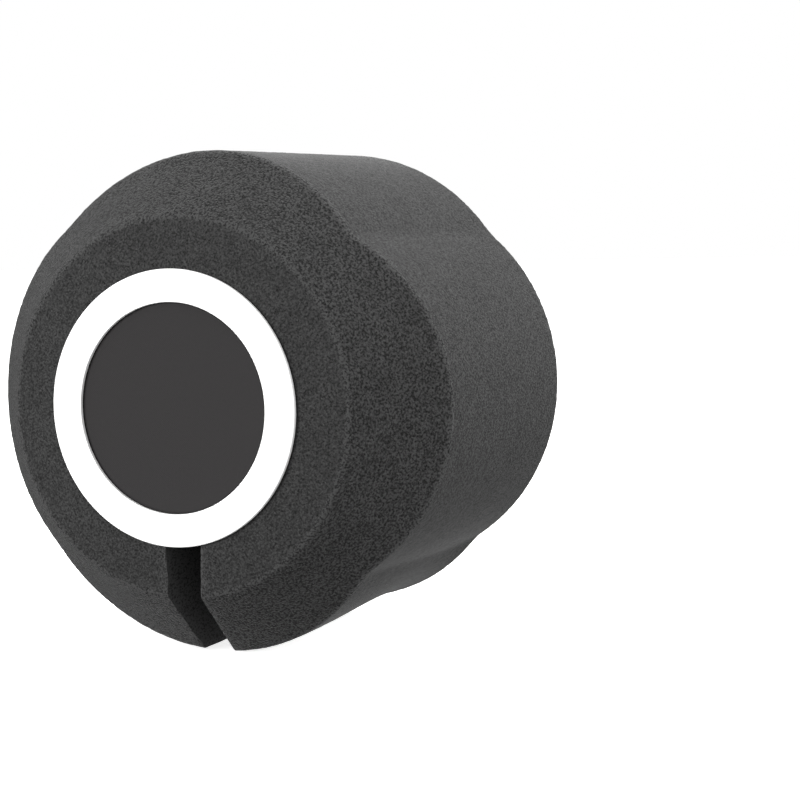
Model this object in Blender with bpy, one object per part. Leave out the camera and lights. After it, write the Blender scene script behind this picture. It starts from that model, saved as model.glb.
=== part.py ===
"""Microphone isolation shield: a lobed foam body with a pop filter in its front bore.

The frame is the shield in use. +Z is up, +X is right as the singer sees it, and +Y runs from the
front face to the back. The origin is on the microphone well's axis, level with the foam's lowest
edge. All lengths are in metres.
"""

import math

import bmesh
import bpy
from mathutils import Vector

# Foam body: four equal lobes round one axis that runs from front to back.
LOBES = 4
LOBE_RADIUS = 0.0636        # radius of each lobe's arc
LOBE_OFFSET = 0.0158        # from the axis to the centre of a lobe's arc
BODY_DEPTH = 0.120          # front annulus to back face
BACK_SHRINK = 0.042         # how much smaller the back section is than the front one
ANNULUS_RADIUS = 0.042      # flat part of the front, under the bezel
CREASE_RADIUS = 0.058       # where the steep cone starts
CREASE_DEPTH = 0.0024
CONE_SLOPE = 0.82           # radius gained for each metre of depth, behind the crease
EDGE_ROUND = 0.0016         # softened rim and back edge
RIM_BLUNTING = 0.0005       # how far the softened rim lies inside the sharp one
FOAM_STEPS = 96             # angles round the body

# Microphone well, slot and sound passage, cut into the foam.
WELL_RADIUS = 0.0255
WELL_DEPTH_BEHIND_FRONT = 0.070
WELL_TOP_ABOVE_AXIS = 0.035
SLOT_WIDTH = 0.012
PASSAGE_RADIUS = 0.031
PASSAGE_DEPTH = 0.058

# Pop filter: radii from the outside in, depths from the foam's front face.
BEZEL_OUTER_RADIUS = 0.042
BEZEL_OPENING_RADIUS = 0.032
BEZEL_STAND_PROUD = 0.0016
BEZEL_CHAMFER = 0.0004
SKIRT_WALL = 0.0014
SKIRT_DEPTH = 0.0122
BARREL_RADIUS = 0.0378
BARREL_WALL = 0.0016
BARREL_DEPTH = 0.0154
BARREL_LIP_DEPTH = 0.0018
RIB_HEIGHT = 0.0006
RIB_WIDTH = 0.0012
RIB_DEPTHS = (0.0035, 0.0070, 0.0105)
HOOP_DEPTH = 0.0020
SPACER_DEPTH = 0.0062
HOOP_WALL = 0.0016
GAUZE_THICKNESS = 0.0004
RING_STEPS = 72             # angles round the turned pieces

GAP = 0.0003                # clearance between pieces that touch
OVERSHOOT = 0.010           # how far a cutter runs past the face that it opens

FRONT_Y = -WELL_DEPTH_BEHIND_FRONT
LOBE_PITCH = 2.0 * math.pi / LOBES


def lobe_radius(angle):
    """Outline radius at the front, for an angle about the axis, with a lobe at every pitch."""
    offset = (angle + LOBE_PITCH / 2.0) % LOBE_PITCH - LOBE_PITCH / 2.0
    across = LOBE_OFFSET * math.sin(offset)
    return LOBE_OFFSET * math.cos(offset) + math.sqrt(LOBE_RADIUS ** 2 - across ** 2)


def side_radius(angle, depth):
    """Outline radius at a depth behind the front, where the body narrows towards the back."""
    return lobe_radius(angle) * (1.0 - BACK_SHRINK * depth / BODY_DEPTH)


def rim_depth(angle):
    """Depth at which the front cone meets the lobed side."""
    reach = lobe_radius(angle)
    start = CREASE_RADIUS - CONE_SLOPE * CREASE_DEPTH
    return (reach - start) / (CONE_SLOPE + reach * BACK_SHRINK / BODY_DEPTH)


def lowest_edge():
    """How far the slot's edge at the lowest lobe lies under the axis."""
    half_slot = math.asin(SLOT_WIDTH / 2.0 / lobe_radius(0.0))
    depth = rim_depth(half_slot) + EDGE_ROUND
    return side_radius(half_slot, depth) * math.cos(half_slot)


AXIS_HEIGHT = lowest_edge()


def clear_scene():
    """Start from an empty scene."""
    for item in list(bpy.data.objects):
        bpy.data.objects.remove(item, do_unlink=True)


def make_material(name, colour, roughness):
    """A Principled material of one colour."""
    material = bpy.data.materials.new(name)
    material.use_nodes = True
    shader = material.node_tree.nodes["Principled BSDF"]
    shader.inputs["Base Color"].default_value = (*colour, 1.0)
    shader.inputs["Roughness"].default_value = roughness
    shader.inputs["Metallic"].default_value = 0.0
    return material


def add_empty(name, location):
    """An empty that the pieces of one assembly hang on."""
    empty = bpy.data.objects.new(name, None)
    empty.location = location
    bpy.context.collection.objects.link(empty)
    return empty


def add_piece(name, mesh, parent, material=None):
    """Put a mesh in the scene under a parent."""
    piece = bpy.data.objects.new(name, mesh)
    if material is not None:
        mesh.materials.append(material)
    piece.parent = parent
    bpy.context.collection.objects.link(piece)
    return piece


def finish_mesh(name, shape, smooth_angle=math.radians(30.0)):
    """Turn a bmesh into a mesh, shaded smooth but for its sharp edges."""
    bmesh.ops.recalc_face_normals(shape, faces=shape.faces)
    mesh = bpy.data.meshes.new(name)
    shape.to_mesh(mesh)
    shape.free()
    mesh.shade_smooth()
    mesh.set_sharp_from_angle(angle=smooth_angle)
    return mesh


def join_loops(shape, near, far):
    """Skin two loops of the same number of points with quads."""
    for index in range(len(near)):
        following = (index + 1) % len(near)
        shape.faces.new((near[index], near[following], far[following], far[index]))


def foam_section(angle):
    """Points (radius, depth) down the foam's outside at one angle, from the front to the back."""
    rim = rim_depth(angle)
    before_rim = rim - EDGE_ROUND
    after_rim = rim + EDGE_ROUND
    back_round = BODY_DEPTH - EDGE_ROUND
    return [
        (ANNULUS_RADIUS, 0.0),
        (CREASE_RADIUS, CREASE_DEPTH),
        (CREASE_RADIUS + CONE_SLOPE * (before_rim - CREASE_DEPTH), before_rim),
        (side_radius(angle, rim) - RIM_BLUNTING, rim),
        (side_radius(angle, after_rim), after_rim),
        (side_radius(angle, back_round), back_round),
        (side_radius(angle, BODY_DEPTH) - EDGE_ROUND, BODY_DEPTH),
    ]


def foam_blank():
    """The foam's outside, closed: annulus, cone, softened rim, lobed side and back face."""
    shape = bmesh.new()
    sections = []
    for step in range(FOAM_STEPS):
        angle = step * 2.0 * math.pi / FOAM_STEPS
        section = []
        for radius, depth in foam_section(angle):
            point = (radius * math.sin(angle), depth, radius * math.cos(angle))
            section.append(shape.verts.new(point))
        sections.append(section)
    loops = list(zip(*sections))
    for near, far in zip(loops, loops[1:]):
        join_loops(shape, near, far)
    shape.faces.new(loops[0])
    shape.faces.new(loops[-1])
    return finish_mesh("foam_body", shape)


def rod(name, radius, start, end):
    """A closed round rod between two points."""
    axis = Vector(end) - Vector(start)
    shape = bmesh.new()
    bmesh.ops.create_cone(
        shape, cap_ends=True, segments=RING_STEPS, radius1=radius, radius2=radius, depth=axis.length
    )
    turn = Vector((0.0, 0.0, 1.0)).rotation_difference(axis).to_matrix()
    bmesh.ops.rotate(shape, cent=(0.0, 0.0, 0.0), matrix=turn, verts=shape.verts)
    bmesh.ops.translate(shape, vec=(Vector(start) + Vector(end)) / 2.0, verts=shape.verts)
    return finish_mesh(name, shape)


def block(name, low, high):
    """A closed box between two corners."""
    shape = bmesh.new()
    bmesh.ops.create_cube(shape, size=1.0)
    size = Vector(high) - Vector(low)
    bmesh.ops.scale(shape, vec=size, verts=shape.verts)
    bmesh.ops.translate(shape, vec=(Vector(low) + Vector(high)) / 2.0, verts=shape.verts)
    return finish_mesh(name, shape)


def cut(piece, cutter_mesh, parent):
    """Cut a piece with a guide that is itself left out of the model."""
    cutter = add_piece(cutter_mesh.name, cutter_mesh, parent)
    cutter.hide_render = True
    cutter.display_type = "WIRE"
    boolean = piece.modifiers.new(cutter_mesh.name, "BOOLEAN")
    boolean.operation = "DIFFERENCE"
    boolean.solver = "EXACT"
    boolean.object = cutter


def turned(name, outline):
    """Turn a closed outline of (radius, depth) points round the filter's axis."""
    shape = bmesh.new()
    loops = []
    for radius, depth in outline:
        loop = []
        for step in range(RING_STEPS):
            angle = step * 2.0 * math.pi / RING_STEPS
            point = (radius * math.sin(angle), depth, radius * math.cos(angle))
            loop.append(shape.verts.new(point))
        loops.append(loop)
    for near, far in zip(loops, loops[1:] + loops[:1]):
        join_loops(shape, near, far)
    return finish_mesh(name, shape)


def build_foam_body(parent, foam):
    """Foam body with the filter bore, the sound passage, the microphone well and the slot."""
    body = add_piece("foam_body", foam_blank(), parent, foam)
    bore_radius = BARREL_RADIUS + RIB_HEIGHT + GAP
    before_front = (0.0, -OVERSHOOT, 0.0)
    bore_end = (0.0, BARREL_DEPTH + GAP, 0.0)
    cut(body, rod("cut_filter_bore", bore_radius, before_front, bore_end), parent)
    passage_end = (0.0, PASSAGE_DEPTH, 0.0)
    cut(body, rod("cut_passage", PASSAGE_RADIUS, before_front, passage_end), parent)
    well_foot = (0.0, WELL_DEPTH_BEHIND_FRONT, -AXIS_HEIGHT - OVERSHOOT)
    well_top = (0.0, WELL_DEPTH_BEHIND_FRONT, WELL_TOP_ABOVE_AXIS)
    cut(body, rod("cut_microphone_well", WELL_RADIUS, well_foot, well_top), parent)
    slot_low = (-SLOT_WIDTH / 2.0, -OVERSHOOT, -AXIS_HEIGHT - OVERSHOOT)
    slot_high = (SLOT_WIDTH / 2.0, WELL_DEPTH_BEHIND_FRONT, 0.0)
    cut(body, block("cut_slot", slot_low, slot_high), parent)


def build_bezel(parent, white):
    """White front ring: a flat flange, with a skirt that snaps into the barrel."""
    front = -BEZEL_STAND_PROUD
    back = -GAP
    skirt_outer = BARREL_RADIUS - BARREL_WALL - GAP
    skirt_inner = skirt_outer - SKIRT_WALL
    outline = [
        (BEZEL_OPENING_RADIUS, front + BEZEL_CHAMFER),
        (BEZEL_OPENING_RADIUS + BEZEL_CHAMFER, front),
        (BEZEL_OUTER_RADIUS - BEZEL_CHAMFER, front),
        (BEZEL_OUTER_RADIUS, front + BEZEL_CHAMFER),
        (BEZEL_OUTER_RADIUS, back),
        (skirt_outer, back),
        (skirt_outer, SKIRT_DEPTH),
        (skirt_inner, SKIRT_DEPTH),
        (skirt_inner, back),
        (BEZEL_OPENING_RADIUS, back),
    ]
    add_piece("front_bezel", turned("front_bezel", outline), parent, white)


def build_housing(parent, black):
    """Barrel that lies in the foam bore: grip ribs outside, a lip at its back edge."""
    inner = BARREL_RADIUS - BARREL_WALL
    lip_radius = inner - HOOP_WALL - SKIRT_WALL - 2.0 * GAP
    outline = [(inner, 0.0), (BARREL_RADIUS, 0.0)]
    for depth in RIB_DEPTHS:
        outline.append((BARREL_RADIUS, depth))
        outline.append((BARREL_RADIUS + RIB_HEIGHT, depth + RIB_WIDTH / 3.0))
        outline.append((BARREL_RADIUS + RIB_HEIGHT, depth + 2.0 * RIB_WIDTH / 3.0))
        outline.append((BARREL_RADIUS, depth + RIB_WIDTH))
    lip_front = BARREL_DEPTH - BARREL_LIP_DEPTH
    outline += [
        (BARREL_RADIUS, BARREL_DEPTH),
        (lip_radius, BARREL_DEPTH),
        (lip_radius, lip_front),
        (inner, lip_front),
    ]
    add_piece("filter_housing", turned("filter_housing", outline), parent, black)


def ring_outline(inner, outer, start, end):
    """Rectangular section of a plain ring."""
    return [(inner, start), (outer, start), (outer, end), (inner, end)]


def build_filter_stack(parent, black, gauze):
    """Front hoop and gauze, spacer, rear hoop and gauze, stacked inside the bezel's skirt."""
    outer = BARREL_RADIUS - BARREL_WALL - SKIRT_WALL - 2.0 * GAP
    inner = outer - HOOP_WALL
    start = 0.0
    for name, depth, gauze_name in (
        ("front_gauze_hoop", HOOP_DEPTH, "front_gauze"),
        ("gauze_spacer", SPACER_DEPTH, None),
        ("rear_gauze_hoop", HOOP_DEPTH, "rear_gauze"),
    ):
        outline = ring_outline(inner, outer, start, start + depth)
        add_piece(name, turned(name, outline), parent, black)
        if gauze_name is not None:
            disc_start = (0.0, start, 0.0)
            disc_end = (0.0, start + GAUZE_THICKNESS, 0.0)
            add_piece(gauze_name, rod(gauze_name, inner - GAP, disc_start, disc_end), parent, gauze)
        start += depth + GAP


def main():
    """Build the shield."""
    clear_scene()
    foam = make_material("charcoal_foam", (0.055, 0.055, 0.057), 0.95)
    white = make_material("white_plastic", (0.90, 0.90, 0.89), 0.35)
    black = make_material("black_plastic", (0.025, 0.025, 0.027), 0.50)
    gauze = make_material("black_gauze", (0.045, 0.044, 0.045), 0.85)
    front_centre = (0.0, FRONT_Y, AXIS_HEIGHT)
    shield = add_empty("shield_axis", front_centre)
    pop_filter = add_empty("pop_filter_slide", front_centre)
    build_foam_body(shield, foam)
    build_bezel(pop_filter, white)
    build_housing(pop_filter, black)
    build_filter_stack(pop_filter, black, gauze)


main()
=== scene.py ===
"""Looks of the microphone isolation shield: a foam body with a pop filter in its front.

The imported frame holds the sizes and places. Each sub-assembly is a class here, which builds
its pieces around that frame in metres and dresses them. +Z is up, +X is right as the singer
sees the shield, and +Y runs from the front to the back.
"""

import logging
import math
from collections.abc import Callable, Sequence
from dataclasses import dataclass
from enum import Enum

import bpy
import numpy as np
from mathutils import Matrix, Vector

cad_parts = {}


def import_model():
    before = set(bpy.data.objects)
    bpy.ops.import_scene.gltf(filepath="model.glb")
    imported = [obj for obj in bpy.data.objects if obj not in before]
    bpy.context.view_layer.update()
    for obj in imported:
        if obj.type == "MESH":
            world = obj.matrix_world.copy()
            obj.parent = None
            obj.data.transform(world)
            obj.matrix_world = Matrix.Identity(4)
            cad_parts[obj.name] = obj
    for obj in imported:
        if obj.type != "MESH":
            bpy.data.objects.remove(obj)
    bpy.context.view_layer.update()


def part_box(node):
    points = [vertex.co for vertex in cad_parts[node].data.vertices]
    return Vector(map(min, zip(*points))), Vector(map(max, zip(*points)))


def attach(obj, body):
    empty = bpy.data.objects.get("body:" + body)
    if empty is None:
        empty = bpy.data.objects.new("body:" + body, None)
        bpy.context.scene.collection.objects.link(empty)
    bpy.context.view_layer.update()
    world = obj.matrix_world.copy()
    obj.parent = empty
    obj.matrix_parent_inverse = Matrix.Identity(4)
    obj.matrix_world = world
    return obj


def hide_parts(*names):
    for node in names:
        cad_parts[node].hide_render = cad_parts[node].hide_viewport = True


log = logging.getLogger("isolation_shield")

MM = 0.001
SKEW = (0.61, 0.92, 0.37)
LONGEST_ROUNDING = 0.48
WAIST_PEAK = 27 / 4
Points = np.ndarray
Material = bpy.types.Material
Piece = bpy.types.Object
Socket = bpy.types.NodeSocket


def direction(azimuth: float, elevation: float) -> Vector:
    """Works out a direction from the shield.

    Args:
        azimuth: Degrees round from the front, towards the right.
        elevation: Degrees above the level.

    Returns:
        The direction, one metre long.
    """
    around, above = math.radians(azimuth), math.radians(elevation)
    level = math.cos(above)
    return Vector((math.sin(around) * level, -math.cos(around) * level, math.sin(above)))


class Body(Enum):
    """The bodies that the pieces ride on."""

    FOAM = "foam_shield"
    FILTER = "pop_filter"


class Slot(Enum):
    """The material slots, each named for a finish."""

    FOAM = "charcoal_foam"
    WHITE = "white_plastic"
    BLACK = "black_plastic"
    GAUZE = "black_gauze"


class Cells(Enum):
    """What a cell pattern measures: the distance to a cell's middle, or to its edge."""

    MIDDLES = "F1"
    EDGES = "DISTANCE_TO_EDGE"


class Edge(Enum):
    """How far an outline's corner is rounded, in millimetres."""

    BROKEN = 0.15
    EASED = 0.35
    ROUND = 0.55


# ---------------------------------------------------------------------------------------------
# The frame


@dataclass(frozen=True)
class Frame:
    """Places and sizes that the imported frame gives, in metres."""

    axis_height: float
    front: float
    depth: float
    bezel_radius: float
    housing_radius: float
    housing_back: float

    @classmethod
    def read(cls) -> "Frame":
        """Reads the places from the frame's nodes.

        Returns:
            The frame's places and sizes.
        """
        foam_low, foam_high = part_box("foam_body")
        bezel_low, bezel_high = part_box("front_bezel")
        housing_low, housing_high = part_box("filter_housing")
        return cls(
            axis_height=(bezel_low.z + bezel_high.z) / 2,
            front=foam_low.y,
            depth=foam_high.y - foam_low.y,
            bezel_radius=(bezel_high.x - bezel_low.x) / 2,
            housing_radius=(housing_high.x - housing_low.x) / 2,
            housing_back=housing_high.y - foam_low.y,
        )

    def ring_sizes(self, node: str) -> tuple[float, float, float]:
        """Measures a turned node that is centred on the shield's axis.

        Args:
            node: The node's name.

        Returns:
            Its outer radius, and the depths of its front and back behind the foam's front.
        """
        low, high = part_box(node)
        return (high.x - low.x) / 2, low.y - self.front, high.y - self.front

    def to_world(self, points: Points) -> Points:
        """Moves points from the shield's axis to the frame.

        Args:
            points: Rows of (right, depth behind the front, above the axis).

        Returns:
            The same points in the frame.
        """
        return points + np.array([0.0, self.front, self.axis_height])


# ---------------------------------------------------------------------------------------------
# Node helpers


class NodeSheet:
    """A material's node tree, with short ways to add and join nodes."""

    def __init__(self, name: str) -> None:
        """Starts a material with only a Principled BSDF and its output.

        Args:
            name: The material's name.
        """
        self.material = bpy.data.materials.new(name)
        self.material.use_nodes = True
        self.tree = self.material.node_tree
        self.shader = self.tree.nodes["Principled BSDF"]
        self.place = self.add("ShaderNodeTexCoord").outputs["Object"]

    def add(self, kind: str, **settings: object) -> bpy.types.Node:
        """Adds a node.

        Args:
            kind: The node's type name.
            settings: Attributes to set on the node.

        Returns:
            The new node.
        """
        node = self.tree.nodes.new(kind)
        for name, value in settings.items():
            setattr(node, name, value)
        return node

    def join(self, source: Socket, target: Socket) -> None:
        """Links one socket to another."""
        self.tree.links.new(source, target)

    def feed(self, value: object, target: Socket) -> None:
        """Gives an input its value.

        Args:
            value: A socket to link, or a plain value to set.
            target: The input.
        """
        if isinstance(value, Socket):
            self.join(value, target)
        else:
            target.default_value = value

    def math(self, operation: str, *values: object) -> Socket:
        """Adds a Math node.

        Args:
            operation: The node's operation.
            values: Its inputs, each a socket or a number.

        Returns:
            The result's socket.
        """
        node = self.add("ShaderNodeMath", operation=operation)
        for value, target in zip(values, node.inputs):
            self.feed(value, target)
        return node.outputs[0]

    def remap(
        self, value: Socket, span: tuple[float, float], to: tuple[float, float] = (0.0, 1.0)
    ) -> Socket:
        """Maps a value smoothly from one range to another, and holds it at the ends.

        Args:
            value: The socket to map.
            span: The start and end of its range.
            to: The results at the start and the end.

        Returns:
            The mapped value's socket.
        """
        node = self.add("ShaderNodeMapRange", interpolation_type="SMOOTHSTEP", clamp=True)
        self.join(value, node.inputs["Value"])
        for name, number in zip(("From Min", "From Max", "To Min", "To Max"), (*span, *to)):
            node.inputs[name].default_value = number
        return node.outputs["Result"]

    def drawn_out(self, along: float) -> Socket:
        """Stretches the places from front to back, so that a pattern there is longer.

        Args:
            along: How many times longer the pattern is from front to back.

        Returns:
            The stretched places' socket.
        """
        node = self.add("ShaderNodeVectorMath", operation="MULTIPLY")
        self.join(self.place, node.inputs[0])
        node.inputs[1].default_value = (1.0, 1 / along, 1.0)
        return node.outputs[0]

    def askew(self, place: Socket) -> Socket:
        """Turns places out of line with the flat faces, so that noise shows no grid there.

        Args:
            place: The places to turn.

        Returns:
            The turned places' socket.
        """
        node = self.add("ShaderNodeVectorRotate", rotation_type="EULER_XYZ")
        node.inputs["Rotation"].default_value = SKEW
        self.join(place, node.inputs["Vector"])
        return node.outputs[0]

    def noise(self, pitch: float, detail: float, place: Socket | None = None) -> Socket:
        """Adds three-dimensional noise.

        Args:
            pitch: The size of its blobs in metres.
            detail: The number of finer layers.
            place: The places to read it at, or None for the plain ones.

        Returns:
            The noise value's socket.
        """
        node = self.add("ShaderNodeTexNoise")
        self.join(place or self.place, node.inputs["Vector"])
        node.inputs["Scale"].default_value = 1 / pitch
        node.inputs["Detail"].default_value = detail
        return node.outputs["Fac"]

    def cells(self, pitch: float, measure: Cells) -> Socket:
        """Adds three-dimensional foam cells.

        Args:
            pitch: The size of a cell in metres.
            measure: What is measured in each cell.

        Returns:
            The distance's socket, in units of the pitch.
        """
        node = self.add("ShaderNodeTexVoronoi", feature=measure.value)
        self.join(self.place, node.inputs["Vector"])
        node.inputs["Scale"].default_value = 1 / pitch
        return node.outputs["Distance"]

    def attribute(self, name: str) -> Socket:
        """Reads a value that the mesh carries at its points."""
        return self.add("ShaderNodeAttribute", attribute_name=name).outputs["Fac"]

    def tint(self, amount: Socket, dark: Sequence[float], light: Sequence[float]) -> Socket:
        """Mixes two colours.

        Args:
            amount: The light colour's share, from 0 to 1.
            dark: The colour at 0.
            light: The colour at 1.

        Returns:
            The mixed colour's socket.
        """
        node = self.add("ShaderNodeMix", data_type="RGBA")
        self.join(amount, node.inputs["Factor"])
        node.inputs["A"].default_value = (*dark, 1.0)
        node.inputs["B"].default_value = (*light, 1.0)
        return node.outputs["Result"]

    def bump(self, height: Socket, strength: float, rise: float) -> None:
        """Gives the shader a bumpy surface.

        Args:
            height: The height's socket, from 0 to 1.
            strength: How much of the bump shows.
            rise: The height of a full step in metres.
        """
        node = self.add("ShaderNodeBump")
        node.inputs["Strength"].default_value = strength
        node.inputs["Distance"].default_value = rise
        self.join(height, node.inputs["Height"])
        self.join(node.outputs["Normal"], self.shader.inputs["Normal"])

    def set(self, **values: float) -> None:
        """Sets constants on the shader's own sockets, named with _ for a space."""
        for name, value in values.items():
            self.shader.inputs[name.replace("_", " ")].default_value = value


# ---------------------------------------------------------------------------------------------
# Finishes


@dataclass(frozen=True)
class OpenCellFoam:
    """Charcoal polyurethane foam: dark pores between lighter struts, rougher where it is cut."""

    name: str = "charcoal open cell foam"
    pore_shade: float = 0.004
    strut_shade: float = 0.052
    pore_pitch: float = 0.70 * MM
    pore_span: tuple[float, float] = (0.34, 0.66)
    pore_share: float = 0.66
    pore_detail: float = 1.5
    skin_pitch: float = 0.62 * MM
    skin_span: tuple[float, float] = (0.32, 0.68)
    skin_share: float = 0.58
    side_draw: float = 1.7
    fine_pitch: float = 0.38 * MM
    fine_share: float = 0.24
    strut_width: float = 0.22
    strut_share: float = 0.10
    plain_share: float = 0.03
    cut_plain_share: float = 0.01
    # Painted highlight: sparse bright specks that stand in for glints of light.
    glint_pitch: float = 3.2 * MM
    glint_span: tuple[float, float] = (0.05, 0.11)
    glint_gain: float = 0.8
    blotch_pitch: float = 9.0 * MM
    blotch_span: tuple[float, float] = (0.35, 0.65)
    blotch_depth: float = 0.05
    # Painted edge highlight: how fast it falls off from the edge, and how much it brightens the
    # colour.
    edge_highlight_falloff: float = 4.0
    edge_highlight_gain: float = 0.75
    # Painted light: how much the colour of the walls of the hollows is brightened.
    hollow_light_gain: float = 0.90
    side_relief: float = 0.40
    hollow_calm: float = 0.6
    rise: float = 0.30 * MM
    bump_strength: float = 0.75

    def height(self, sheet: NodeSheet, cut: Socket) -> Socket:
        """Lays pores, skin, fine cells, struts and a few painted glints, specks of painted highlight,
        over each other.

        Args:
            sheet: The material's nodes.
            cut: How coarsely the surface is cut, from 0 to 1.

        Returns:
            The height's socket, mostly from 0 to 1.
        """
        drawn = sheet.askew(sheet.drawn_out(self.side_draw))
        sheet.place = sheet.askew(sheet.place)
        pores = sheet.remap(sheet.noise(self.pore_pitch, self.pore_detail), self.pore_span)
        skin = sheet.remap(sheet.noise(self.skin_pitch, self.pore_detail, drawn), self.skin_span)
        fine = sheet.remap(sheet.noise(self.fine_pitch, 1.0), self.pore_span)
        edges = sheet.cells(self.pore_pitch, Cells.EDGES)
        struts = sheet.remap(edges, (0.0, self.strut_width), (1.0, 0.0))
        pore_share = sheet.math("MULTIPLY", cut, self.pore_share)
        skin_share = sheet.math("MULTIPLY_ADD", cut, -self.skin_share, self.skin_share)
        less = self.cut_plain_share - self.plain_share
        height = sheet.math("MULTIPLY_ADD", cut, less, self.plain_share)
        height = sheet.math("MULTIPLY_ADD", pores, pore_share, height)
        height = sheet.math("MULTIPLY_ADD", skin, skin_share, height)
        height = sheet.math("MULTIPLY_ADD", fine, self.fine_share, height)
        height = sheet.math("MULTIPLY_ADD", struts, self.strut_share, height)
        # Painted highlight: sparse bright specks standing in for glints of light on the struts; they
        # also raise the bump.
        middles = sheet.cells(self.glint_pitch, Cells.MIDDLES)
        glint = sheet.remap(middles, self.glint_span, (self.glint_gain, 0.0))
        return sheet.math("ADD", height, glint)

    def material(self) -> Material:
        """Builds the finish.

        Returns:
            The foam's material.
        """
        sheet = NodeSheet(self.name)
        cut = sheet.attribute("cut_skin")
        height = self.height(sheet, cut)
        blotch_ends = (1 - self.blotch_depth, 1 + self.blotch_depth)
        blotch = sheet.remap(sheet.noise(self.blotch_pitch, 1.0), self.blotch_span, blotch_ends)
        # Painted highlight: the colour is brightened along the crease, the rim and the back edge,
        # where light catches them.
        edge_highlight = sheet.math("POWER", sheet.attribute("painted_edge_highlight"), self.edge_highlight_falloff)
        edge_highlight = sheet.math("MULTIPLY_ADD", edge_highlight, self.edge_highlight_gain, 1.0)
        # Painted light: the walls of the bore, well and slot are brightened, standing in for light
        # reaching into the hollows.
        painted_hollow_light = sheet.math("MULTIPLY_ADD", sheet.attribute("hollow_wall"), self.hollow_light_gain, 1.0)
        light = sheet.math("MULTIPLY", height, blotch)
        light = sheet.math("MULTIPLY", light, sheet.math("MULTIPLY", edge_highlight, painted_hollow_light))
        dark, pale = (self.pore_shade,) * 3, (self.strut_shade,) * 3
        sheet.join(sheet.tint(light, dark, pale), sheet.shader.inputs["Base Color"])
        sheet.set(Roughness=0.95, Specular_IOR_Level=0.08, Sheen_Weight=0.12, Sheen_Roughness=0.3)
        relief = sheet.math("MULTIPLY_ADD", cut, 1 - self.side_relief, self.side_relief)
        calm = sheet.math("MULTIPLY_ADD", sheet.attribute("hollow_wall"), -self.hollow_calm, 1.0)
        relief = sheet.math("MULTIPLY", relief, calm)
        sheet.bump(sheet.math("MULTIPLY", height, relief), self.bump_strength, self.rise)
        return sheet.material


@dataclass(frozen=True)
class MouldedPlastic:
    """Satin moulded plastic with a very fine spark-eroded grain."""

    name: str
    shade: tuple[float, float, float]
    roughness: float
    grain_pitch: float = 0.35 * MM
    grain_span: tuple[float, float] = (0.3, 0.7)
    roughness_spread: float = 0.04
    cloud_pitch: float = 14.0 * MM
    cloud_shade: float = 0.97
    rise: float = 0.012 * MM
    bump_strength: float = 0.35

    def material(self) -> Material:
        """Builds the finish.

        Returns:
            The plastic's material.
        """
        sheet = NodeSheet(self.name)
        grain = sheet.noise(self.grain_pitch, 2.0)
        cloud = sheet.remap(sheet.noise(self.cloud_pitch, 1.0), self.grain_span)
        lower = tuple(self.cloud_shade * value for value in self.shade)
        sheet.join(sheet.tint(cloud, lower, self.shade), sheet.shader.inputs["Base Color"])
        ends = (self.roughness - self.roughness_spread, self.roughness + self.roughness_spread)
        sheet.join(sheet.remap(grain, self.grain_span, ends), sheet.shader.inputs["Roughness"])
        sheet.set(Specular_IOR_Level=0.5)
        sheet.bump(grain, self.bump_strength, self.rise)
        return sheet.material


@dataclass(frozen=True)
class WovenGauze:
    """Tight black nylon gauze: threads over and under each other, with pinholes between."""

    name: str = "black nylon gauze"
    thread_pitch: float = 0.36 * MM
    thread_shade: tuple[float, float, float] = (0.0272, 0.0258, 0.0263)
    hole_shade: tuple[float, float, float] = (0.016, 0.015, 0.0155)
    thread_share: float = 0.75
    crossing_share: float = 0.25
    hole_span: tuple[float, float] = (0.1, 0.6)
    rise: float = 0.05 * MM
    bump_strength: float = 0.5

    def wave(self, sheet: NodeSheet, place: Socket, threads: int) -> Socket:
        """Adds a wave across the threads.

        Args:
            sheet: The material's nodes.
            place: The distance across the threads.
            threads: The number of threads in one wave.

        Returns:
            The wave's socket, from -1 to 1.
        """
        turn = 2 * math.pi / (self.thread_pitch * threads)
        return sheet.math("SINE", sheet.math("MULTIPLY", place, turn))

    def material(self) -> Material:
        """Builds the finish.

        Returns:
            The gauze's material.
        """
        sheet = NodeSheet(self.name)
        parts = sheet.add("ShaderNodeSeparateXYZ")
        sheet.join(sheet.place, parts.inputs[0])
        right, up = parts.outputs["X"], parts.outputs["Z"]
        across = sheet.math("ABSOLUTE", self.wave(sheet, right, 1))
        along = sheet.math("ABSOLUTE", self.wave(sheet, up, 1))
        over_under = sheet.math("MULTIPLY", self.wave(sheet, right, 2), self.wave(sheet, up, 2))
        height = sheet.math("MULTIPLY", sheet.math("MAXIMUM", across, along), self.thread_share)
        height = sheet.math("MULTIPLY_ADD", over_under, self.crossing_share, height)
        colour = sheet.tint(sheet.remap(height, self.hole_span), self.hole_shade, self.thread_shade)
        sheet.join(colour, sheet.shader.inputs["Base Color"])
        sheet.set(Roughness=0.85, Specular_IOR_Level=0.12, Sheen_Weight=0.03, Sheen_Roughness=0.4)
        sheet.bump(height, self.bump_strength, self.rise)
        return sheet.material


@dataclass(frozen=True)
class PaleFloor:
    """Plain matt white studio floor."""

    name: str = "pale studio floor"
    shade: float = 0.86
    cloud_shade: float = 0.99
    cloud_pitch: float = 0.6
    glow: float = 0.75

    def material(self) -> Material:
        """Builds the finish.

        Returns:
            The floor's material.
        """
        sheet = NodeSheet(self.name)
        cloud = sheet.noise(self.cloud_pitch, 1.0)
        low, high = (self.shade * self.cloud_shade,) * 3, (self.shade,) * 3
        sheet.join(sheet.tint(cloud, low, high), sheet.shader.inputs["Base Color"])
        sheet.set(Roughness=0.9, Specular_IOR_Level=0.1, Emission_Strength=self.glow)
        sheet.shader.inputs["Emission Color"].default_value = (1.0, 1.0, 1.0, 1.0)
        return sheet.material


# ---------------------------------------------------------------------------------------------
# Mesh helpers


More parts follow.
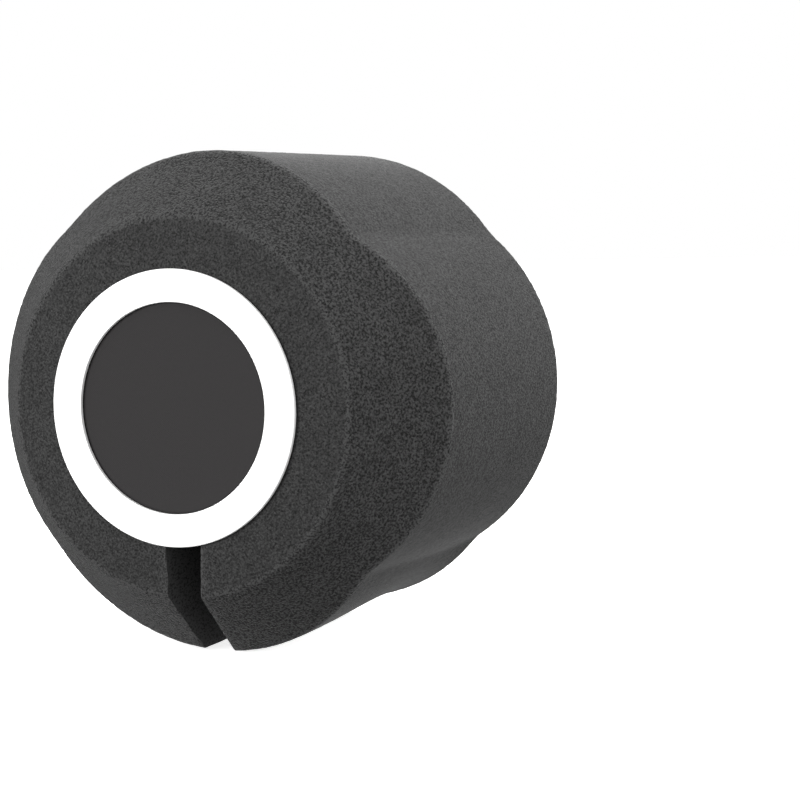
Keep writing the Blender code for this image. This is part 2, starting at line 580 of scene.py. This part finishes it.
def make_object(name: str, points: Points, faces: Sequence[Sequence[int]]) -> Piece:
    """Makes a smooth-shaded mesh object.

    Args:
        name: The piece's name.
        points: Its points in the frame, one row each.
        faces: Each face's point numbers, counter-clockwise from outside.

    Returns:
        The new object.
    """
    mesh = bpy.data.meshes.new(name)
    mesh.from_pydata([tuple(p) for p in points], [], [tuple(int(i) for i in f) for f in faces])
    mesh.shade_smooth()
    piece = bpy.data.objects.new(name, mesh)
    bpy.context.scene.collection.objects.link(piece)
    return piece


def place_piece(piece: Piece, body: Body, slot: Slot, finish: Material, *nodes: str) -> Piece:
    """Puts a piece in the frame and dresses it.

    Args:
        piece: The piece.
        body: The body that it moves with.
        slot: The slot that its finish stands for; not used.
        finish: Its material.
        nodes: The frame's nodes that it stands for.

    Returns:
        The same piece.
    """
    piece.data.materials.append(finish)
    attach(piece, body.value)
    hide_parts(*nodes)
    log.info("%s: %d points, %d faces", piece.name, len(piece.data.vertices), len(piece.data.polygons))
    return piece


@dataclass
class Outline:
    """A turned piece's closed outline of corners: depth behind the front, radius, and edge."""

    corners: list[tuple[float, float, Edge]]

    def points(self, steps: int = 5) -> Points:
        """Works out the outline with its corners rounded.

        Args:
            steps: The number of points on each rounded corner.

        Returns:
            Rows of (depth, radius).
        """
        made = []
        count = len(self.corners)
        for index, (depth, radius, edge) in enumerate(self.corners):
            here = np.array([depth, radius])
            before = np.array(self.corners[index - 1][:2]) - here
            after = np.array(self.corners[(index + 1) % count][:2]) - here
            limit = LONGEST_ROUNDING * min(np.linalg.norm(before), np.linalg.norm(after))
            reach = min(edge.value * MM, limit)
            start = here + before / np.linalg.norm(before) * reach
            end = here + after / np.linalg.norm(after) * reach
            for t in np.linspace(0, 1, steps):
                made.append((1 - t) ** 2 * start + 2 * t * (1 - t) * here + t * t * end)
        return np.array(made)

    def turned(self, name: str, frame: Frame, steps: int) -> Piece:
        """Turns the outline round the shield's axis.

        Args:
            name: The piece's name.
            frame: The frame's places.
            steps: The number of steps round the axis.

        Returns:
            The turned ring.
        """
        profile = self.points()
        rows = len(profile)
        angles = np.arange(steps) * 2 * math.pi / steps
        ring = np.empty((steps, rows, 3))
        ring[:, :, 0] = np.cos(angles)[:, None] * profile[:, 1]
        ring[:, :, 1] = profile[:, 0]
        ring[:, :, 2] = np.sin(angles)[:, None] * profile[:, 1]
        faces = []
        for step in range(steps):
            after = (step + 1) % steps
            for row in range(rows):
                below = (row + 1) % rows
                here, there = step * rows, after * rows
                faces.append((here + row, there + row, there + below, here + below))
        if self.runs_forwards():
            faces = [face[::-1] for face in faces]
        return make_object(name, frame.to_world(ring.reshape(-1, 3)), faces)

    def runs_forwards(self) -> bool:
        """Tells which way the corners run.

        Returns:
            Whether they run clockwise in the (depth, radius) plane.
        """
        area = 0.0
        for index, corner in enumerate(self.corners):
            before = self.corners[index - 1]
            area += before[0] * corner[1] - corner[0] * before[1]
        return area < 0


def smooth_most(first: Points, second: Points, rounding: float) -> Points:
    """The larger of two distances, with a rounded step between them.

    Args:
        first: One distance at each point.
        second: The other distance at each point.
        rounding: The width of the rounded step.

    Returns:
        The blended distance at each point.
    """
    share = np.maximum(rounding - np.abs(first - second), 0.0) / rounding
    return np.maximum(first, second) + share * share * rounding / 4


def ease(value: Points, low: float, high: float) -> Points:
    """A smooth step from 0 at low to 1 at high."""
    t = np.clip((value - low) / (high - low), 0.0, 1.0)
    return t * t * (3 - 2 * t)


# ---------------------------------------------------------------------------------------------
# Foam shield


@dataclass(frozen=True)
class Lobe:
    """One of the foam's round lobes: a circle at the front face, one at the back, and a waist.

    The waist is how far the lobe is drawn in, at its most, between its rim and the back.
    """

    front_right: float
    front_up: float
    front_radius: float
    back_right: float
    back_up: float
    back_radius: float
    waist: float = 0.0
    rim_share: float = 0.25

    def distance(self, right: Points, up: Points, share: Points) -> Points:
        """Distance outside the lobe.

        Args:
            right: Distance to the right of the axis.
            up: Distance above the axis.
            share: How far back the points are, from 0 at the front to 1 at the back.

        Returns:
            The distance at each point, negative inside.
        """
        middle_right = self.front_right + (self.back_right - self.front_right) * share
        middle_up = self.front_up + (self.back_up - self.front_up) * share
        radius = self.front_radius + (self.back_radius - self.front_radius) * share
        behind_rim = np.clip((share - self.rim_share) / (1 - self.rim_share), 0.0, 1.0)
        radius = radius - self.waist * WAIST_PEAK * behind_rim**2 * (1 - behind_rim)
        return np.hypot(right - middle_right, up - middle_up) - radius


@dataclass
class SurfaceNet:
    """Turns a distance function into a closed mesh of even quads with crisp edges."""

    pitch: float
    low: tuple[float, float, float]
    high: tuple[float, float, float]
    flatness: float = 0.03

    def axes(self) -> list[Points]:
        """The grid's places along each axis."""
        return [np.arange(a, b + self.pitch, self.pitch) for a, b in zip(self.low, self.high)]

    def crossings(self, distance: Points, axis: int) -> tuple[Points, Points, Points]:
        """Finds where the surface cuts the grid's lines along one axis.

        Args:
            distance: The distance at each place of the grid.
            axis: The lines' direction.

        Returns:
            The lines' starts as grid numbers, the cuts in grid steps, and whether each line
            leaves the solid.
        """
        inside = distance < 0
        last = distance.shape[axis]
        near = np.take(inside, range(last - 1), axis)
        far = np.take(inside, range(1, last), axis)
        starts = np.argwhere(near != far)
        ends = starts.copy()
        ends[:, axis] += 1
        value = distance[tuple(starts.T)]
        further = distance[tuple(ends.T)]
        cuts = starts.astype(float)
        cuts[:, axis] += value / (value - further)
        return starts, cuts, value < 0

    def mesh(self, distance: Points, gradient: Callable[[Points], Points]) -> tuple[Points, Points]:
        """Finds the surface where the distance is zero.

        Each cell of the grid that the surface passes through gets one point, where the planes
        of the surface around it meet, so that edges and corners stay sharp.

        Args:
            distance: The distance at each place of the grid.
            gradient: Gives the growth of the distance at any points.

        Returns:
            The points, and the quads as rows of four point numbers.
        """
        shape = distance.shape
        cell_count = int(np.prod(shape))
        low = np.array(self.low)
        middle = np.zeros((cell_count, 3))
        planes = np.zeros((cell_count, 3, 3))
        offsets = np.zeros((cell_count, 3))
        count = np.zeros(cell_count)
        quads = []
        for axis in range(3):
            second, third = (axis + 1) % 3, (axis + 2) % 3
            starts, cuts, leaving = self.crossings(distance, axis)
            places = cuts * self.pitch + low
            slope = gradient(places)
            normal = slope / np.linalg.norm(slope, axis=1, keepdims=True)
            reach = (normal * places).sum(1)
            around = []
            for step_second, step_third in ((0, 0), (-1, 0), (-1, -1), (0, -1)):
                cell = starts.copy()
                cell[:, second] += step_second
                cell[:, third] += step_third
                number = np.ravel_multi_index(tuple(cell.T), shape)
                around.append(number)
                count += np.bincount(number, minlength=cell_count)
                for row in range(3):
                    middle[:, row] += np.bincount(number, places[:, row], cell_count)
                    offsets[:, row] += np.bincount(number, normal[:, row] * reach, cell_count)
                    for column in range(3):
                        share = normal[:, row] * normal[:, column]
                        planes[:, row, column] += np.bincount(number, share, cell_count)
            quad = np.stack(around, 1)
            quad[~leaving] = quad[~leaving][:, ::-1]
            quads.append(quad)
        used = np.flatnonzero(count)
        middle = middle[used] / count[used, None]
        planes = planes[used]
        rest = offsets[used] - np.einsum("nij,nj->ni", planes, middle)
        planes = planes + np.eye(3) * (self.flatness * count[used])[:, None, None]
        shift = np.linalg.solve(planes, rest[:, :, None])[:, :, 0]
        corner = np.stack(np.unravel_index(used, shape), 1) * self.pitch + low
        points = np.clip(middle + shift, corner, corner + self.pitch)
        renumber = np.full(cell_count, -1)
        renumber[used] = np.arange(len(used))
        return points, renumber[np.concatenate(quads)]


@dataclass
class FoamShield:
    """The foam body: four lobes, a conical front, and the hollows for the filter and microphone."""

    frame: Frame
    lobes: tuple[Lobe, ...] = (
        Lobe(19.9 * MM, -1.1 * MM, 60.6 * MM, 14.6 * MM, 2.1 * MM, 61.8 * MM),
        Lobe(-1.1 * MM, 14.1 * MM, 63.8 * MM, 0.4 * MM, 13.5 * MM, 64.4 * MM),
        Lobe(-18.1 * MM, 3.4 * MM, 60.8 * MM, -18.3 * MM, 4.2 * MM, 58.5 * MM),
        Lobe(1.0 * MM, -15.3 * MM, 63.8 * MM, -0.2 * MM, -13.5 * MM, 59.9 * MM, 1.5 * MM),
    )
    valley_softness: float = 0.35 * MM
    dish_rounding: float = 1.0 * MM
    crease_radius: float = 57.9 * MM
    crease_depth: float = 2.5 * MM
    cone_spread: float = 0.84
    rim_rounding: float = 0.5 * MM
    crease_rounding: float = 0.5 * MM
    back_rounding: float = 1.8 * MM
    mouth_rounding: float = 0.4 * MM
    sharp_angle: float = 30.0
    bore_clearance: float = 0.3 * MM
    bore_rounding: float = 0.8 * MM
    passage_radius: float = 31.0 * MM
    passage_depth: float = 58.0 * MM
    well_radius: float = 25.5 * MM
    well_depth: float = 70.0 * MM
    well_top: float = 35.0 * MM
    well_rounding: float = 2.0 * MM
    slot_width_inner: float = 12.1 * MM
    slot_width_outer: float = 10.4 * MM
    slot_lean_inner: float = 2.0 * MM
    slot_lean_outer: float = -1.0 * MM
    lean_inner_drop: float = 42.0 * MM
    lean_outer_drop: float = 78.0 * MM
    lean_range: tuple[float, float] = (-0.5, 1.2)
    lean_fade_start: float = 30.0 * MM
    lean_fade_end: float = 50.0 * MM
    probe: float = 0.02 * MM
    least_slope: float = 0.25
    # Reach of the painted edge highlight along the crease, the rim and the back edge.
    highlight_start: float = 0.2 * MM
    crease_highlight: float = 1.5 * MM
    rim_highlight: float = 1.8 * MM
    back_highlight: float = 2.5 * MM
    cone_start: float = 52.0 * MM
    cone_full: float = 58.0 * MM
    cone_fade: tuple[float, float] = (0.6 * MM, 1.6 * MM)
    annulus_fade: tuple[float, float] = (2.0 * MM, 4.0 * MM)
    annulus_cut: float = 0.6
    highlight_fade: tuple[float, float] = (0.3 * MM, 1.2 * MM)
    hollow_fade: tuple[float, float] = (0.1 * MM, 0.8 * MM)
    bump_fade: tuple[float, float] = (0.3 * MM, 1.6 * MM)
    hollow_bumps: float = 0.12
    covered_bumps: float = 0.2
    pitch: float = 1.34 * MM
    reach: float = 84.0 * MM
    margin: float = 3.0 * MM
    roughness: float = 0.04 * MM
    seed: int = 7

    def off_cone(self, depth: Points, radius: Points) -> Points:
        """Works out how far points are outside the front's cone.

        Args:
            depth: Their depths behind the front.
            radius: Their distances from the axis.

        Returns:
            The distance square to the axis, at each point.
        """
        return radius - self.crease_radius - self.cone_spread * (depth - self.crease_depth)

    def outer(self, places: Points) -> tuple[Points, Points]:
        """Distance outside the foam's outer form, before the hollows are cut.

        Args:
            places: Rows of (right, depth, up).

        Returns:
            The distance, and how near each point is to an outer edge that gets a painted highlight,
            from 0 to 1.
        """
        right, depth, up = places.T
        share = np.clip(depth / self.frame.depth, 0.0, 1.0)
        radius = np.hypot(right, up)
        gaps = np.stack([lobe.distance(right, up, share) for lobe in self.lobes])
        nearest = gaps.min(0)
        soft = self.valley_softness
        side = nearest - soft * np.log(np.exp(-(gaps - nearest) / soft).sum(0))
        flat_slope = self.crease_depth / (self.crease_radius - self.frame.bezel_radius)
        dish = (flat_slope * (radius - self.frame.bezel_radius) - depth) / math.hypot(1, flat_slope)
        front = smooth_most(-depth, dish, self.dish_rounding)
        cone = self.off_cone(depth, radius) / math.hypot(1, self.cone_spread)
        nose = smooth_most(front, cone, self.crease_rounding)
        hull = smooth_most(nose, side, self.rim_rounding)
        whole = smooth_most(hull, depth - self.frame.depth, self.back_rounding)
        # Painted highlight: nearness to the crease, the rim and the back edge, which the finish
        # brightens.
        near_crease = 1 - ease(np.abs(front - cone), self.highlight_start, self.crease_highlight)
        near_rim = 1 - ease(np.abs(nose - side), self.highlight_start, self.rim_highlight)
        off_back = np.abs(hull - depth + self.frame.depth)
        near_back = 1 - ease(off_back, self.highlight_start, self.back_highlight)
        return whole, np.maximum(near_crease, np.maximum(near_rim, near_back))

    def slot_gap(self, right: Points, depth: Points, up: Points) -> Points:
        """Works out how far points are outside the slot's two walls.

        The slot leans to the left and narrows on its way down from the filter, near the front.
        It is straight and even from a little way in.

        Args:
            right: Distance to the right of the axis.
            depth: Depth behind the front.
            up: Distance above the axis.

        Returns:
            The distance at each point, negative between the walls.
        """
        fade = 1 - ease(depth, self.lean_fade_start, self.lean_fade_end)
        outward = (-up - self.lean_inner_drop) / (self.lean_outer_drop - self.lean_inner_drop)
        outward = np.clip(outward, *self.lean_range)
        lean = self.slot_lean_inner + (self.slot_lean_outer - self.slot_lean_inner) * outward
        taper = (self.slot_width_outer - self.slot_width_inner) * outward.clip(0.0, 1.0)
        return np.abs(right - lean * fade) - (self.slot_width_inner + taper * fade) / 2

    def hollows(self, places: Points) -> Points:
        """Distance outside the bore, passage, microphone well and slot.

        Args:
            places: Rows of (right, depth, up).

        Returns:
            The distance at each point, negative inside a hollow.
        """
        right, depth, up = places.T
        radius = np.hypot(right, up)
        bore_radius = self.frame.housing_radius + self.bore_clearance
        bore_depth = self.frame.housing_back + self.bore_clearance
        bore = smooth_most(radius - bore_radius, depth - bore_depth, self.bore_rounding)
        passage = np.maximum(radius - self.passage_radius, depth - self.passage_depth)
        well_gap = np.hypot(right, depth - self.well_depth) - self.well_radius
        well = smooth_most(well_gap, up - self.well_top, self.well_rounding)
        slot = np.maximum(np.maximum(self.slot_gap(right, depth, up), up), depth - self.well_depth)
        return np.minimum(np.minimum(bore, passage), np.minimum(well, slot))

    def distance(self, places: Points) -> Points:
        """Distance outside the finished foam, negative in the foam."""
        return smooth_most(self.outer(places)[0], -self.hollows(places), self.mouth_rounding)

    def gradient(self, places: Points) -> Points:
        """Works out how the distance grows.

        Args:
            places: Rows of (right, depth, up).

        Returns:
            The growth of the distance along each axis, one row a point.
        """
        rows = []
        for axis in range(3):
            nudge = np.zeros(3)
            nudge[axis] = self.probe
            rise = self.distance(places + nudge) - self.distance(places - nudge)
            rows.append(rise / (2 * self.probe))
        return np.stack(rows, 1)

    def settle(self, places: Points) -> Points:
        """Moves points on to the foam's surface.

        Args:
            places: Points close to the surface.

        Returns:
            The points on the surface.
        """
        for _ in range(2):
            slope = self.gradient(places)
            steepness = np.maximum((slope * slope).sum(1), self.least_slope)
            move = self.distance(places) / steepness
            places = places - slope * np.clip(move, -self.pitch / 2, self.pitch / 2)[:, None]
        return places

    def roughen(self, places: Points) -> Points:
        """Gives the outer skin the small bumps of open cell foam.

        Args:
            places: Points on the surface.

        Returns:
            The points moved in or out a little.
        """
        source = np.random.default_rng(self.seed)
        bumps = source.normal(0.0, 1.0, len(places)).clip(-2, 2)
        open_skin = ease(self.hollows(places), *self.bump_fade)
        radius = np.hypot(places[:, 0], places[:, 2])
        covered = (radius < self.frame.bezel_radius + MM) & (places[:, 1] < MM)
        share = self.hollow_bumps + (1 - self.hollow_bumps) * open_skin
        amount = self.roughness * np.where(covered, self.covered_bumps, share)
        slope = self.gradient(places)
        normal = slope / np.linalg.norm(slope, axis=1, keepdims=True)
        return places + normal * (bumps * amount)[:, None]

    def skin_values(self, places: Points) -> dict[str, Points]:
        """Works out what the finish needs to know at each point.

        Args:
            places: Points on the surface.

        Returns:
            The coarseness of the cut, the painted highlight along the edges, and the walls of
            the hollows, which get painted light, each from 0 to 1.
        """
        depth = places[:, 1]
        radius = np.hypot(places[:, 0], places[:, 2])
        gap = self.hollows(places)
        near_cone = 1 - ease(np.abs(self.off_cone(depth, radius)), *self.cone_fade)
        on_cone = near_cone * ease(radius, self.cone_start, self.cone_full)
        on_annulus = 1 - ease(depth, *self.annulus_fade)
        return {
            "cut_skin": np.maximum(on_cone, self.annulus_cut * on_annulus),
            # Painted highlight along the outer edges, faded out near the hollows.
            "painted_edge_highlight": self.outer(places)[1] * ease(gap, *self.highlight_fade),
            # Walls of the hollows: the finish paints light on them and calms their bumps.
            "hollow_wall": 1 - ease(gap, *self.hollow_fade),
        }

    def build(self, finish: Material) -> Piece:
        """Builds the foam body.

        Args:
            finish: The foam's material.

        Returns:
            The foam body.
        """
        low = (-self.reach, -self.margin, -self.reach)
        high = (self.reach, self.frame.depth + self.margin, self.reach)
        net = SurfaceNet(self.pitch, low, high)
        grid = np.stack(np.meshgrid(*net.axes(), indexing="ij"), -1)
        values = self.distance(grid.reshape(-1, 3)).reshape(grid.shape[:3])
        points, quads = net.mesh(values, self.gradient)
        points = self.settle(points)
        values_at = self.skin_values(points)
        points = self.roughen(points)
        piece = make_object("foam_shield_body", self.frame.to_world(points), quads)
        for name, numbers in values_at.items():
            layer = piece.data.attributes.new(name, "FLOAT", "POINT")
            layer.data.foreach_set("value", numbers.astype(np.float32))
        piece.data.set_sharp_from_angle(angle=math.radians(self.sharp_angle))
        place_piece(piece, Body.FOAM, Slot.FOAM, finish, "foam_body")
        return piece


# ---------------------------------------------------------------------------------------------
# Pop filter


@dataclass
class PopFilter:
    """The filter insert: bezel, grip housing, two gauzes on hoops, and the spacer between."""

    frame: Frame
    bezel_opening: float = 32.0 * MM
    flange_gap: float = 0.3 * MM
    skirt_outer: float = 35.9 * MM
    skirt_wall: float = 1.4 * MM
    housing_wall: float = 1.6 * MM
    barb_height: float = 0.6 * MM
    barb_run: float = 1.5 * MM
    barb_rise: float = 0.1 * MM
    barb_depths: tuple[float, ...] = (3.5 * MM, 7.0 * MM, 10.5 * MM)
    lip_thickness: float = 1.8 * MM
    hoop_wall: float = 1.6 * MM
    gauze_sag: float = 0.25 * MM
    bezel_steps: int = 240
    housing_steps: int = 200
    gauze_steps: int = 160
    gauze_rings: int = 24

    def bezel(self, finish: Material) -> Piece:
        """Builds the white ring with the skirt that snaps into the housing.

        Args:
            finish: The white plastic.

        Returns:
            The bezel.
        """
        _, front, back = self.frame.ring_sizes("front_bezel")
        flange_back = -self.flange_gap
        inner = self.skirt_outer - self.skirt_wall
        outline = Outline(
            [
                (front, self.bezel_opening, Edge.EASED),
                (front, self.frame.bezel_radius, Edge.ROUND),
                (flange_back, self.frame.bezel_radius, Edge.BROKEN),
                (flange_back, self.skirt_outer, Edge.BROKEN),
                (back, self.skirt_outer, Edge.EASED),
                (back, inner, Edge.EASED),
                (flange_back, inner, Edge.BROKEN),
                (flange_back, self.bezel_opening, Edge.BROKEN),
            ]
        )
        piece = outline.turned("filter_bezel", self.frame, self.bezel_steps)
        return place_piece(piece, Body.FILTER, Slot.WHITE, finish, "front_bezel")

    def housing(self, finish: Material) -> Piece:
        """Builds the black barrel, whose barbs grip the foam.

        Args:
            finish: The black plastic.

        Returns:
            The housing.
        """
        outer, front, back = self.frame.ring_sizes("filter_housing")
        wall_outer = outer - self.barb_height
        wall_inner = wall_outer - self.housing_wall
        lip_inner = self.frame.ring_sizes("gauze_spacer")[0] - self.hoop_wall
        lip_front = back - self.lip_thickness
        corners = [(front, wall_inner, Edge.BROKEN), (front, wall_outer, Edge.BROKEN)]
        for depth in self.barb_depths:
            corners += [
                (depth - self.barb_rise, wall_outer, Edge.BROKEN),
                (depth, outer, Edge.BROKEN),
                (depth + self.barb_run, wall_outer, Edge.BROKEN),
            ]
        corners += [
            (back, wall_outer, Edge.ROUND),
            (back, lip_inner, Edge.EASED),
            (lip_front, lip_inner, Edge.EASED),
            (lip_front, wall_inner, Edge.BROKEN),
        ]
        piece = Outline(corners).turned("filter_grip_housing", self.frame, self.housing_steps)
        return place_piece(piece, Body.FILTER, Slot.BLACK, finish, "filter_housing")

    def hoop(self, node: str, name: str, finish: Material) -> Piece:
        """Builds a hoop or spacer with eased edges.

        Args:
            node: The frame's node that it stands for.
            name: The piece's name.
            finish: The black plastic.

        Returns:
            The hoop.
        """
        outer, front, back = self.frame.ring_sizes(node)
        inner = outer - self.hoop_wall
        places = ((front, inner), (front, outer), (back, outer), (back, inner))
        outline = Outline([(depth, radius, Edge.EASED) for depth, radius in places])
        piece = outline.turned(name, self.frame, self.gauze_steps)
        return place_piece(piece, Body.FILTER, Slot.BLACK, finish, node)

    def gauze(self, node: str, name: str, finish: Material) -> Piece:
        """Builds a stretched gauze disc, drawn in very slightly towards its middle.

        Args:
            node: The frame's node that it stands for.
            name: The piece's name.
            finish: The gauze.

        Returns:
            The gauze.
        """
        outer, front, back = self.frame.ring_sizes(node)
        steps, rings = self.gauze_steps, self.gauze_rings
        angles = np.arange(steps) * 2 * math.pi / steps
        points = []
        faces = []
        for side, depth in ((0, front), (1, back)):
            start = side * (steps * rings + 1)
            points.append((0.0, depth + self.gauze_sag * (1 - side), 0.0))
            for ring in range(1, rings + 1):
                share = ring / rings
                dish = self.gauze_sag * (1 - share * share) * (1 - side)
                radius = outer * share
                for angle in angles:
                    points.append((radius * math.cos(angle), depth + dish, radius * math.sin(angle)))
            for step in range(steps):
                after = (step + 1) % steps
                made = [(start, start + 1 + step, start + 1 + after)]
                for ring in range(rings - 1):
                    inner, further = start + 1 + ring * steps, start + 1 + (ring + 1) * steps
                    made.append((inner + step, further + step, further + after, inner + after))
                faces += made if side == 0 else [face[::-1] for face in made]
        rim = (rings - 1) * steps + 1
        back_rim = rim + steps * rings + 1
        for step in range(steps):
            after = (step + 1) % steps
            faces.append((rim + after, rim + step, back_rim + step, back_rim + after))
        piece = make_object(name, self.frame.to_world(np.array(points)), faces)
        place_piece(piece, Body.FILTER, Slot.GAUZE, finish, node)
        log.info("%s is %.2f mm thick", name, (back - front) / MM)
        return piece

    def build(self, white: Material, black: Material, gauze: Material) -> list[Piece]:
        """Builds the whole filter, from the front to the back.

        Args:
            white: The bezel's finish.
            black: The finish of the housing, hoops and spacer.
            gauze: The finish of the two gauzes.

        Returns:
            The filter's pieces.
        """
        return [
            self.bezel(white),
            self.housing(black),
            self.hoop("front_gauze_hoop", "front_hoop", black),
            self.gauze("front_gauze", "front_gauze_cloth", gauze),
            self.hoop("gauze_spacer", "spacer_ring", black),
            self.hoop("rear_gauze_hoop", "rear_hoop", black),
            self.gauze("rear_gauze", "rear_gauze_cloth", gauze),
        ]


# ---------------------------------------------------------------------------------------------
# Studio


@dataclass(frozen=True)
class Softbox:
    """A large square light that points at the shield."""

    name: str
    azimuth: float
    elevation: float
    distance: float
    width: float
    brightness: float

    def build(self, aim: Vector) -> Piece:
        """Puts the light in the studio.

        Args:
            aim: The point that it looks at.

        Returns:
            The light.
        """
        towards = direction(self.azimuth, self.elevation)
        lamp = bpy.data.lights.new(self.name, "AREA")
        lamp.shape = "SQUARE"
        lamp.size = self.width
        lamp.energy = self.brightness * math.pi**2 * self.distance**2
        light = bpy.data.objects.new(self.name, lamp)
        light.location = aim + towards * self.distance
        light.rotation_euler = (-towards).to_track_quat("-Z", "Y").to_euler()
        light.visible_camera = False
        bpy.context.scene.collection.objects.link(light)
        return light


@dataclass
class Studio:
    """The pale floor, the white surround, the softboxes and the camera."""

    frame: Frame
    surround: float = 1.0
    below: float = 0.50
    horizon: tuple[float, float] = (-0.12, -0.02)
    floor_radius: float = 9.0
    floor_steps: int = 96
    camera_azimuth: float = 25.73
    camera_elevation: float = 3.88
    camera_roll: float = 1.01
    camera_distance: float = 0.7192
    aim_right: float = 75.7 * MM
    aim_up: float = 3.5 * MM
    lens: float = 112.5
    clip: tuple[float, float] = (0.05, 40.0)
    softboxes: tuple[Softbox, ...] = (
        Softbox("overhead_softbox", 170.0, 62.0, 1.6, 1.1, 1.40),
        Softbox("left_softbox", -18.0, 7.0, 1.5, 0.8, 1.20),
        Softbox("right_softbox", 112.0, 12.0, 1.5, 0.8, 0.94),
    )

    def floor(self, finish: Material) -> Piece:
        """Lays the floor under the shield.

        Args:
            finish: The floor's material.

        Returns:
            The floor.
        """
        steps, radius = self.floor_steps, self.floor_radius
        points = [(0.0, 0.0, 0.0)]
        for step in range(steps):
            angle = step * 2 * math.pi / steps
            points.append((radius * math.cos(angle), radius * math.sin(angle), 0.0))
        faces = [(0, 1 + step, 1 + (step + 1) % steps) for step in range(steps)]
        floor = make_object("studio_floor", np.array(points), faces)
        floor.location.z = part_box("foam_body")[0].z
        floor.data.materials.append(finish)
        floor.visible_diffuse = False
        floor.visible_glossy = False
        return floor

    def sky(self) -> None:
        """Surrounds the shield with even white light, softer from below the horizon."""
        world = bpy.data.worlds.new("white surround")
        world.use_nodes = True
        tree = world.node_tree
        shade = tree.nodes["Background"]
        shade.inputs["Strength"].default_value = self.surround
        place = tree.nodes.new("ShaderNodeTexCoord")
        parts = tree.nodes.new("ShaderNodeSeparateXYZ")
        ramp = tree.nodes.new("ShaderNodeMapRange")
        ramp.inputs["From Min"].default_value = self.horizon[0]
        ramp.inputs["From Max"].default_value = self.horizon[1]
        ramp.inputs["To Min"].default_value = self.below
        tree.links.new(place.outputs["Generated"], parts.inputs[0])
        tree.links.new(parts.outputs["Z"], ramp.inputs["Value"])
        tree.links.new(ramp.outputs["Result"], shade.inputs["Color"])
        bpy.context.scene.world = world

    def camera(self) -> Piece:
        """Sets up the camera in front of the shield, to its right and a little above its axis.

        Returns:
            The camera.
        """
        back = direction(self.camera_azimuth, self.camera_elevation)
        aim = Vector((self.aim_right, self.frame.front, self.frame.axis_height + self.aim_up))
        data = bpy.data.cameras.new("studio_camera")
        data.lens = self.lens
        data.clip_start, data.clip_end = self.clip
        camera = bpy.data.objects.new("studio_camera", data)
        level = (-back).to_track_quat("-Z", "Y").to_matrix()
        roll = Matrix.Rotation(math.radians(-self.camera_roll), 3, "Z")
        camera.location = aim + back * self.camera_distance
        camera.rotation_euler = (level @ roll).to_euler()
        bpy.context.scene.collection.objects.link(camera)
        bpy.context.scene.camera = camera
        return camera

    def build(self, floor_finish: Material) -> None:
        """Sets up the whole studio.

        Args:
            floor_finish: The floor's material.
        """
        self.floor(floor_finish)
        self.sky()
        aim = Vector((0.0, 0.0, self.frame.axis_height))
        for softbox in self.softboxes:
            softbox.build(aim)
        self.camera()
        bpy.context.scene.view_settings.view_transform = "Standard"
        log.info("studio: %d softboxes", len(self.softboxes))


# ---------------------------------------------------------------------------------------------


def main() -> None:
    """Builds the studio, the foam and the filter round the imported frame."""
    logging.basicConfig(level=logging.INFO, format="%(name)s: %(message)s")
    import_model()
    frame = Frame.read()
    log.info("frame: axis %.2f mm up, foam %.1f mm deep", frame.axis_height / MM, frame.depth / MM)

    Studio(frame).build(PaleFloor().material())
    FoamShield(frame).build(OpenCellFoam().material())
    white = MouldedPlastic("white satin plastic", (0.93, 0.93, 0.925), 0.42)
    black = MouldedPlastic("black satin plastic", (0.018, 0.018, 0.019), 0.48)
    pieces = PopFilter(frame).build(white.material(), black.material(), WovenGauze().material())
    log.info("pop filter: %d pieces", len(pieces))


if __name__ == "__main__":
    main()
